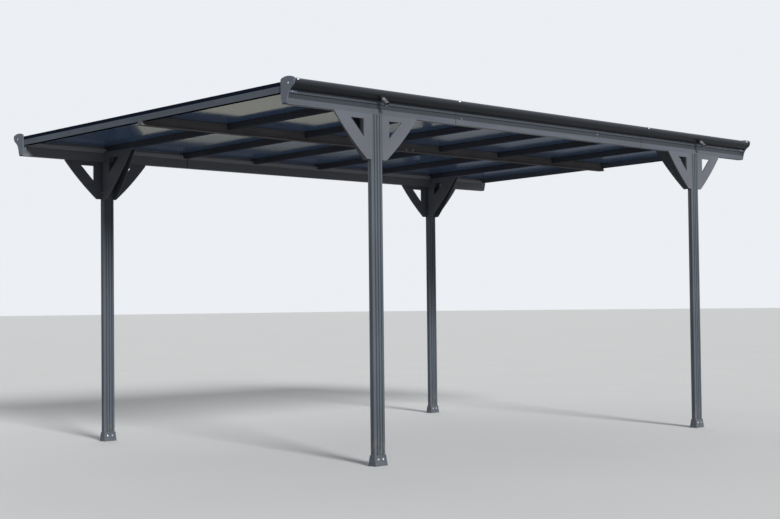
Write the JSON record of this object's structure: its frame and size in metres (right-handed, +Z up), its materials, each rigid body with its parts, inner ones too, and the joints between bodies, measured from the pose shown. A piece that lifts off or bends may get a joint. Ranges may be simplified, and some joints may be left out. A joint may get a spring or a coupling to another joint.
{
  "type": "flat-roofed carport",
  "caption": "Open metal carport: grooved posts with triangular brackets carry two gutter beams, sloping rafters, a centre purlin and tinted twin-wall roof panels.",
  "frame": {"origin": "on the ground, under the middle of the roof", "axes": "+X along the long side from front to rear, +Y from the high side to the low side of the roof, +Z up"},
  "size_m": [5.043, 3.0354, 2.303],
  "materials": {
    "frame_coat": "satin anthracite powder coat on extruded aluminium",
    "foot_coat": "satin anthracite powder coat on pressed steel",
    "bracket_coat": "matt anthracite powder coat",
    "cap_plastic": "matt moulded plastic",
    "outlet_plastic": "satin moulded plastic",
    "tinted_sheet": "tinted twin-wall polycarbonate"
  },
  "bodies": {
    "root": {"centre_purlin": "frame_coat", "cover_strips": "frame_coat", "cross_bracket_front_far": "bracket_coat", "cross_bracket_front_near": "bracket_coat", "cross_bracket_rear_far": "bracket_coat", "cross_bracket_rear_near": "bracket_coat", "edge_covers": "frame_coat", "end_cap_front_far": "cap_plastic", "end_cap_front_near": "cap_plastic", "end_cap_rear_far": "cap_plastic", "end_cap_rear_near": "cap_plastic", "far_beam_front": "frame_coat", "far_beam_middle": "frame_coat", "far_beam_rear": "frame_coat", "foot_front_far": "foot_coat", "foot_front_near": "foot_coat", "foot_rear_far": "foot_coat", "foot_rear_near": "foot_coat", "front_rafter": "frame_coat", "gutter_outlets": "outlet_plastic", "near_beam_front": "frame_coat", "near_beam_middle": "frame_coat", "near_beam_rear": "frame_coat", "post_front_far": "frame_coat", "post_front_near": "frame_coat", "post_rear_far": "frame_coat", "post_rear_near": "frame_coat", "rafter_1": "frame_coat", "rafter_2": "frame_coat", "rafter_3": "frame_coat", "rafter_4": "frame_coat", "rafter_5": "frame_coat", "rafter_6": "frame_coat", "rear_rafter": "frame_coat", "roof_panel_1": "tinted_sheet", "roof_panel_2": "tinted_sheet", "roof_panel_3": "tinted_sheet", "roof_panel_4": "tinted_sheet", "roof_panel_5": "tinted_sheet", "roof_panel_6": "tinted_sheet", "roof_panel_7": "tinted_sheet", "side_brackets_front_far": "bracket_coat", "side_brackets_front_near": "bracket_coat", "side_brackets_rear_far": "bracket_coat", "side_brackets_rear_near": "bracket_coat"}
  },
  "joints": []
}
